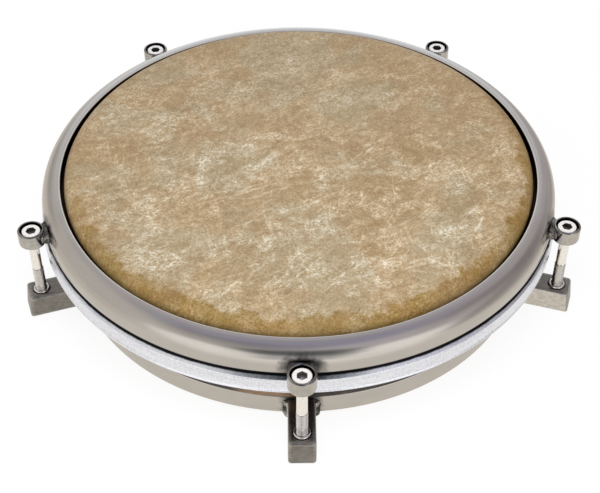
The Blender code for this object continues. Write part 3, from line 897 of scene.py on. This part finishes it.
def nickel_material():
    """Satin plate with fine turning marks round the drum's axis, faint clouds and a few paler streaks worn by
    rubbing.
    It is painted dark beside each lug as the ears' shadow and reflection, painted near black as shade in its seams
    and on its inner wall, and painted bright on the inner lip as a highlight."""
    nodes = Material("satin_nickel")
    place = nodes.place()
    radius, height, across, along = nodes.round_axis(place)
    lane = nodes.times(nodes.minus(radius, height), 900)
    marks = nodes.noise(nodes.join(across, along, lane), 2.2)
    cloud = nodes.noise(place, 45, roughness=0.55)
    tone = nodes.total([(marks, 0.5), (cloud, 0.5)])
    plate = nodes.ramp(tone, [(0.3, scaled(NICKEL, 0.92)), (0.7, scaled(NICKEL, 1.06))])
    streaks = nodes.noise(nodes.join(across, along, nodes.times(lane, 0.3)), 9.0, detail=4.0, roughness=0.7)
    rub = nodes.times(nodes.fit(streaks, 0.6, 0.75), 0.35)
    paled = nodes.mix(rub, plate, scaled(NICKEL, 1.25))
    # Painted shadow and reflection of the ears: near black beside each lug, fading away from it and above the ears
    above = nodes.maths("MAXIMUM", nodes.minus(height, EAR_HIGH.z - 0.002), 0.0)
    ear_shadowed = nodes.painted_ear_shadow(place, across, along, nodes.times(above, EAR_SHADOW_SLOPE))
    tinted = nodes.mix(nodes.times(ear_shadowed, 0.95), paled, EAR_SHADOW_COLOUR)
    # Painted highlight: the top of the inner lip is painted brighter than the plate
    on_lip = nodes.soft(radius, RIM_INNER + 0.0012, RIM_INNER + 0.0006)
    lip_highlight = nodes.times(on_lip, nodes.soft(height, RIM_HIGH.z - 0.0006, RIM_HIGH.z - 0.0003))
    tinted = nodes.mix(lip_highlight, tinted, scaled(NICKEL, 1.45))
    # Painted shade: near black in the seam at the counterhoop's foot and on its inner wall below the lip
    seam = nodes.soft(height, RIM_LOW.z + 0.0022, RIM_LOW.z + 0.0009)
    inside = nodes.soft(radius, RIM_INNER + 0.0004, RIM_INNER + 0.0001)
    below_lip = nodes.soft(height, RIM_HIGH.z - 0.0003, RIM_HIGH.z - 0.0008)
    shaded_places = nodes.maths("MAXIMUM", seam, nodes.times(inside, below_lip))
    seam_shade = nodes.times(shaded_places, nodes.soft(height, BAND_HIGH.z, RIM_LOW.z))
    shade = nodes.mix(seam_shade, tinted, scaled(NICKEL, 0.04))
    nodes.bump(marks, 0.03, 0.0001)
    return nodes.finish(base_color=shade, metallic=1.0, roughness=nodes.spread(tone, 0.16, 0.26))


def cast_metal(name, colour, rough_low, rough_high):
    """Plated or raw metal with a fine cast grain and a few clouds."""
    nodes = Material(name)
    place = nodes.place()
    grain = nodes.noise(place, CAST_GRAIN)
    cloud = nodes.noise(place, CAST_GRAIN / 9)
    tone = nodes.total([(grain, 0.5), (cloud, 0.5)])
    shade = nodes.ramp(tone, [(0.34, scaled(colour, 0.84)), (0.66, scaled(colour, 1.1))])
    nodes.bump(grain, 0.15, 0.00003)
    return nodes.finish(base_color=shade, metallic=1.0, roughness=nodes.spread(tone, rough_low, rough_high))


def ear_material():
    """Plated steel: a bright eye with its top edge and counterbore painted dark as shade, on a neck left dark and
    rough by the weld.
    """
    nodes = Material("ear_metal")
    place = nodes.place()
    x, y, z = nodes.split(nodes.own_place())
    radius = nodes.length(x, y)
    grain = nodes.noise(place, 600)
    cloud = nodes.noise(place, 130)
    tone = nodes.total([(grain, 0.4), (cloud, 0.6)])
    # Painted shade: the eye's top edge is painted darker
    high = nodes.soft(z, EAR_HIGH.z - 0.0011, EAR_HIGH.z - 0.0003)
    darkened = nodes.times(high, nodes.fit(cloud, 0.35, 0.6, 0.8, 0.3))
    eye = nodes.mix(darkened, nodes.ramp(tone, EAR_PLATE), EAR_TOP_SHADE)
    # Painted shade: the counterbore's wall is painted near black
    inside = nodes.soft(radius, COUNTERBORE_RADIUS + 0.0003, COUNTERBORE_RADIUS + 0.0001)
    above = nodes.soft(z, COUNTERBORE_FLOOR - 0.0006, COUNTERBORE_FLOOR - 0.0002)
    eye = nodes.mix(nodes.times(inside, above), eye, COUNTERBORE_SHADE)
    welded = nodes.soft(radius, EAR_RADIUS - 0.0001, EAR_RADIUS + 0.0005)
    shade = nodes.mix(welded, eye, nodes.ramp(tone, EAR_BURNT))
    nodes.bump(nodes.total([(grain, 1.0), (nodes.times(cloud, welded), 3.0)]), 0.12, 0.0001)
    rough = nodes.total([(nodes.spread(tone, 0.1, 0.18), 1.0), (welded, 0.14)])
    return nodes.finish(base_color=shade, metallic=1.0, roughness=rough)


def lug_material():
    """Dark steel with a ground grain, worn paler by rubbing along the block's edges, painted paler on one side as
    light falling on it, and blotchy welds.
    """
    nodes = Material("dark_steel")
    place = nodes.place()
    x, y, z = nodes.split(nodes.own_place())
    rake = nodes.times(z, BLOCK_DRAFT / BLOCK_HIGH.z)
    to_nose = nodes.minus(BLOCK_NOSE + BLOCK_DRAFT, nodes.maths("ADD", x, rake))
    beside = nodes.minus(nodes.maths("ABSOLUTE", y), BLOCK_WIDTH / 2)
    to_side = nodes.maths("ABSOLUTE", beside)
    to_top = nodes.minus(BLOCK_HIGH.z, z)
    near = [nodes.fit(gap, 0, 1.6 * BLOCK_ROUND, 1, 0) for gap in (to_nose, to_side, to_top, z)]
    grain = nodes.noise(nodes.stretched(place, 0, 3), 700, detail=4.0, roughness=0.65)
    cloud = nodes.noise(place, 110)
    tone = nodes.total([(grain, 0.6), (cloud, 0.4)])
    edges = nodes.minus(nodes.total([(value, 1.0) for value in near]), 1.0)
    worn = nodes.times(nodes.fit(edges, 0.2, 0.9), nodes.fit(grain, 0.38, 0.6, 0.3, 0.9))
    paled = nodes.mix(worn, nodes.ramp(tone, LUG_STEEL), LUG_EDGE)
    # Painted light: one side of each block is painted paler, as if lit
    lit_side = nodes.soft(y, 0.0006 - BLOCK_WIDTH / 2, 0.0001 - BLOCK_WIDTH / 2)
    paled = nodes.mix(nodes.times(lit_side, 0.85), paled, nodes.ramp(grain, LUG_LIT_SIDE))
    bead = nodes.soft(beside, 0.0001, 0.0007)
    shade = nodes.mix(bead, paled, nodes.ramp(cloud, LUG_WELD))
    nodes.bump(tone, 0.22, 0.00015)
    return nodes.finish(base_color=shade, metallic=1.0, roughness=nodes.spread(tone, 0.3, 0.42))


def bolt_material():
    """Bright zinc plate: a satin head with a socket painted with shade and highlights, a high-polish shank and
    thread roots painted darker as shade.
    """
    nodes = Material("bright_zinc")
    x, y, z = nodes.split(nodes.own_place())
    radius = nodes.length(x, y)
    grain = nodes.noise(nodes.place(), 800)
    top = BOLT_HIGH.z
    under = top - HEAD_HEIGHT
    on_top = nodes.soft(z, top - 0.0012, top - 0.0004)
    satin = nodes.times(on_top, nodes.soft(radius, HEX_KEY / 2 + 0.0001, HEX_KEY / 2 + 0.0004))
    # Painted shade: the thread roots are painted darker
    root = nodes.soft(radius, THREAD_RADIUS - 0.0001, THREAD_RADIUS - THREAD_DEPTH)
    threaded = nodes.times(root, nodes.soft(z, THREAD_TOP, THREAD_TOP - THREAD_PITCH))
    grooved = nodes.mix(nodes.times(threaded, 0.7), nodes.ramp(grain, ZINC), THREAD_ROOT_SHADE)
    # Painted shade and highlights in the hex socket, by depth
    in_head = nodes.times(nodes.soft(z, top - 0.00002, top - 0.0003), nodes.soft(z, under, under + 0.0003))
    hollow = nodes.times(in_head, nodes.soft(radius, HEX_KEY * 0.76, HEX_KEY * 0.7))
    depth = nodes.fit(z, top, top - HEX_DEPTH)
    shade = nodes.mix(hollow, grooved, nodes.ramp(depth, SOCKET_LIGHT_AND_SHADE))
    nodes.bump(grain, 0.05, 0.00004)
    rough = nodes.total([(nodes.spread(grain, 0.1, 0.18), 1.0), (satin, 0.25)])
    return nodes.finish(base_color=shade, metallic=nodes.fit(satin, 0, 1, 1.0, 0.15), roughness=rough)


def aluminium_material():
    """Bright aluminium with rolling marks round the drum's axis, its chamfer painted darker as shade, most beside
    the lugs, and its top painted near black as shade.
    """
    nodes = Material("rolled_aluminium")
    place = nodes.place()
    radius, height, across, along = nodes.round_axis(place)
    lane = nodes.times(nodes.maths("ADD", radius, height), 700)
    marks = nodes.noise(nodes.join(across, along, lane), 3.0, detail=4.0, roughness=0.65)
    specks = nodes.noise(place, 800, roughness=0.65)
    tone = nodes.total([(marks, 0.45), (specks, 0.55)])
    chamfer_end = HOOP_HIGH.z - HOOP_CHAMFER
    ragged = nodes.total([(height, 1.0), (nodes.noise(place, 120), 0.0006)])
    on_chamfer = nodes.soft(ragged, chamfer_end + 0.0003, chamfer_end + 0.0012)
    # Painted shade: the chamfer under the counterhoop is painted darker, most beside the lugs
    chamfer_shaded = nodes.times(on_chamfer, nodes.fit(nodes.by_lug(across, along), 0.2, 1.0, 0.12, 0.75))
    surface = nodes.mix(chamfer_shaded, nodes.ramp(tone, ALUMINIUM), nodes.ramp(tone, CHAMFER_SHADE))
    # Painted shade: the top of the hoop, in the groove under the counterhoop, is painted near black
    deeper = nodes.total([(ragged, 1.0), (nodes.times(across, across), 0.0008)])
    groove = nodes.soft(deeper, HOOP_HIGH.z - 0.0019, HOOP_HIGH.z - 0.0012)
    surface = nodes.mix(groove, surface, GROOVE_SHADE)
    # Painted shadow and reflection of the ears on the chamfer beside each lug
    ear_shadowed = nodes.times(nodes.painted_ear_shadow(place, across, along), on_chamfer)
    surface = nodes.mix(nodes.times(ear_shadowed, 0.7), surface, EAR_SHADOW_COLOUR)
    nodes.bump(tone, 0.2, 0.0002)
    return nodes.finish(base_color=surface, metallic=1.0, roughness=nodes.spread(tone, 0.2, 0.32))


def wood_material():
    """Plain brown wood inside, painted nearly black outside as shade under the flesh hoop, and left plain brown in
    places along its foot.
    """
    nodes = Material("stained_wood")
    place = nodes.place()
    radius, height, across, along = nodes.round_axis(place)
    fine = nodes.join(nodes.times(across, 14), nodes.times(along, 14), nodes.times(height, 260))
    grain = nodes.noise(fine, 1.0, detail=5.0, roughness=0.65, distortion=0.4)
    pores = nodes.noise(nodes.join(across, along, nodes.times(height, 60)), 26.0)
    tone = nodes.total([(grain, 0.65), (pores, 0.35)])
    blotch = nodes.noise(place, 55, detail=4.0)
    drifting = nodes.total([(across, 1.0), (blotch, 0.12)])
    ends = nodes.times(nodes.soft(drifting, -0.24, -0.14), nodes.soft(drifting, 0.06, -0.02))
    front = nodes.times(ends, nodes.soft(along, 0, -0.2))
    spots = nodes.times(nodes.soft(blotch, 0.56, 0.66), 0.7)
    uneven = nodes.total([(height, 1.0), (blotch, 0.012)])
    foot = nodes.soft(uneven, BAND_HIGH.z + 0.017, BAND_HIGH.z + 0.009)
    # Painted shade: the outside is painted nearly black as the hoop's shadow, except in these places along the foot
    unshaded_patches = nodes.times(nodes.maths("MAXIMUM", front, spots), foot)
    outer = nodes.soft(radius, SHELL_RADIUS - 0.0012, SHELL_RADIUS - 0.0004)
    shaded_outside = nodes.times(outer, nodes.minus(1.0, unshaded_patches))
    shade = nodes.mix(shaded_outside, nodes.ramp(tone, WOOD_BARE), nodes.ramp(tone, WOOD_IN_SHADE))
    nodes.bump(tone, 0.25, 0.0002)
    return nodes.finish(base_color=shade, roughness=nodes.spread(tone, 0.4, 0.58))


# Studio

def make_camera():
    camera = bpy.data.cameras.new("camera")
    camera.sensor_fit = "HORIZONTAL"
    camera.sensor_width = CAMERA_SENSOR
    camera.lens = CAMERA_LENS
    obj = new_object("camera", camera)
    obj.location = CAMERA_PLACE
    obj.rotation_euler = (math.pi / 2 - CAMERA_PITCH, 0, -CAMERA_YAW)
    bpy.context.scene.camera = obj


def make_floor():
    """A plain pale sheet, lit from below. What the metal mirrors of it is dimmer beside the drum and brighter
    before and behind it."""
    half = FLOOR_SIZE / 2
    corners = [(-half, -half, 0), (half, -half, 0), (half, half, 0), (-half, half, 0)]
    mesh = bpy.data.meshes.new("floor")
    mesh.from_pydata(corners, [], [(0, 1, 2, 3)])
    floor = new_object("floor", mesh)
    nodes = Material("pale_floor")
    place = nodes.place()
    x, y, _ = nodes.split(place)
    far = nodes.maths("MAXIMUM", nodes.length(x, y), LEAST_DIVISOR)
    widest = FLOOR_BY_SIDE[-1][0]
    by_side = [((side + widest) / (2 * widest), colour) for side, colour in FLOOR_BY_SIDE]
    aside = nodes.ramp(nodes.fit(x, -widest, widest), by_side)
    width = nodes.total([(nodes.maths("ABSOLUTE", x), 1.0), (y, SHEET_SPREAD)])
    glow = nodes.mix(nodes.soft(width, *SHEET_SIDE), NEAR_FLOOR, aside)
    ahead = nodes.times(y, -1.0)
    in_front = nodes.soft(nodes.maths("DIVIDE", ahead, far), *FRONT_FLOOR_SIDES)
    glow = nodes.mix(nodes.times(nodes.soft(ahead, *SHEET_FRONT), in_front), glow, FRONT_FLOOR)
    behind = nodes.soft(nodes.maths("DIVIDE", y, far), *BACK_FLOOR_SIDES)
    mirrored = nodes.mix(nodes.times(nodes.soft(y, *SHEET_BACK), behind), glow, BACK_FLOOR)
    paper = nodes.ramp(nodes.noise(place, 1.5, detail=1.0, roughness=0.5), PAPER)
    glow = nodes.mix(nodes.add("ShaderNodeLightPath", output="Is Camera Ray"), mirrored, paper)
    nodes.finish(base_color=FLOOR_BASE, roughness=0.9)
    floor.data.materials.append(nodes.finish(emission_color=glow, emission_strength=SHEET_GLOW))


def facing(nodes, direction, turn, height):
    """The cosine of the angle between a direction and a place in the sky."""
    x, y, z = direction
    reach = math.cos(height)
    return nodes.total([(x, reach * math.sin(turn)), (y, -reach * math.cos(turn)), (z, math.sin(height))])


def make_sky():
    """Soft light from all round: dim overhead, paler on the left than on the right, with a bright back wall, a soft
    box on either side of the front and a dark gap between them. The camera itself sees a plain wall."""
    world = bpy.data.worlds.new("studio")
    bpy.context.scene.world = world
    world.use_nodes = True
    nodes = Nodes(world.node_tree)
    direction = nodes.split(nodes.add("ShaderNodeTexCoord", output="Generated"))
    x, y, z = direction
    flat = nodes.maths("MAXIMUM", nodes.length(x, y), LEAST_DIVISOR)
    around = nodes.ramp(nodes.fit(nodes.maths("DIVIDE", x, flat), -1.0, 1.0), AROUND_BY_SIDE)
    shade = nodes.mix(nodes.soft(z, *OVERHEAD_EDGE), OVERHEAD, around)
    behind = nodes.soft(nodes.maths("DIVIDE", y, flat), *BACK_WALL_SIDES)
    shade = nodes.mix(nodes.times(behind, nodes.soft(z, *BACK_WALL_TOP)), shade, BACK_WALL)
    for side in (-1, 1):
        box = nodes.soft(facing(nodes, direction, side * BOX_TURN, BOX_HEIGHT), BOX_OUTER, BOX_INNER)
        shade = nodes.mix(box, shade, BOX_SHADE)
    lean = nodes.total([(y, math.sin(GAP_HEIGHT)), (z, math.cos(GAP_HEIGHT))])
    wide = nodes.maths("POWER", nodes.maths("DIVIDE", x, GAP_HALF_WIDTH), 2.0)
    tall = nodes.maths("POWER", nodes.maths("DIVIDE", lean, GAP_HALF_HEIGHT), 2.0)
    inside = nodes.soft(nodes.maths("ADD", wide, tall), *GAP_EDGE)
    ahead = nodes.soft(facing(nodes, direction, 0, GAP_HEIGHT), *GAP_AHEAD)
    shade = nodes.mix(nodes.times(inside, ahead), shade, GAP_SHADE)
    for turn, height, radius, share in SKY_SPOTS:
        near = facing(nodes, direction, math.radians(turn), math.radians(height))
        spot = nodes.soft(near, math.cos(math.radians(radius)), math.cos(math.radians(radius / 5)))
        shade = nodes.mix(spot, shade, nodes.mix(1.0, shade, (share, share, share), "MULTIPLY"))
    seen = nodes.mix(nodes.add("ShaderNodeLightPath", output="Is Camera Ray"), shade, PLAIN_WALL)
    nodes.put(world.node_tree.nodes["Background"].inputs["Color"], seen)


def make_light():
    lamp = bpy.data.lights.new("key", "AREA")
    lamp.energy = KEY_POWER
    lamp.size = KEY_SIZE
    key = new_object("key", lamp)
    key.location = KEY_PLACE
    key.rotation_euler = (-Vector(KEY_PLACE)).to_track_quat("-Z", "Y").to_euler()
    key.visible_glossy = False
    view = bpy.context.scene.view_settings
    view.view_transform = "Standard"
    view.look = "None"


# Assembly

def dress(piece, body, slot, material, *nodes):
    piece.data.materials.clear()
    piece.data.materials.append(material)
    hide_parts(*nodes)
    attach(piece, body)


def copy_to_lugs(pattern, body, slot, material, node):
    """One piece for each lug, on its bolt axis, with the pattern's +X pointing away from the drum's axis."""
    own_place = pattern.data.attributes.new(OWN_PLACE, "FLOAT_VECTOR", "POINT")
    own_place.data.foreach_set("vector", [c for vertex in pattern.data.vertices for c in vertex.co])
    for number in LUGS:
        turn = Matrix.Rotation(FIRST_LUG_ANGLE + 2 * math.pi * (number - 1) / len(LUGS), 4, "Z")
        piece = new_object(f"{pattern.name}_{number}", pattern.data.copy())
        piece.data.transform(turn @ Matrix.Translation((BOLT_CIRCLE, 0, 0)))
        dress(piece, body.format(number), slot, material, f"{node}_{number}")
    bpy.data.objects.remove(pattern, do_unlink=True)


def make_drum():
    nickel = nickel_material()
    bright = cast_metal("bright_steel", BRIGHT_STEEL, 0.12, 0.2)
    darkened = cast_metal("grimy_steel", GRIMY_STEEL, 0.22, 0.34)
    dress(make_film(), "drum", "film", film_material(), "head_film")
    dress(make_bearing_ring(), "drum", "wood", wood_material(), "bearing_ring")
    dress(make_frame_band(), "drum", "satin_nickel", nickel, "frame_band")
    dress(make_counterhoop(), "hoop", "satin_nickel", nickel, "counterhoop")
    dress(make_flesh_hoop(), "hoop", "aluminium", aluminium_material(), "flesh_hoop")
    copy_to_lugs(make_ear(), "hoop", "satin_nickel", ear_material(), "rim_ear")
    copy_to_lugs(make_block(), "drum", "satin_nickel", lug_material(), "lug_block")
    copy_to_lugs(make_bolt(), "bolt_{}", "bright_steel", bolt_material(), "tension_bolt")
    copy_to_lugs(make_washer(), "hoop", "bright_steel", darkened, "bolt_washer")
    copy_to_lugs(make_insert(), "drum", "bright_steel", bright, "thread_insert")


make_camera()
make_floor()
make_sky()
make_light()
make_drum()
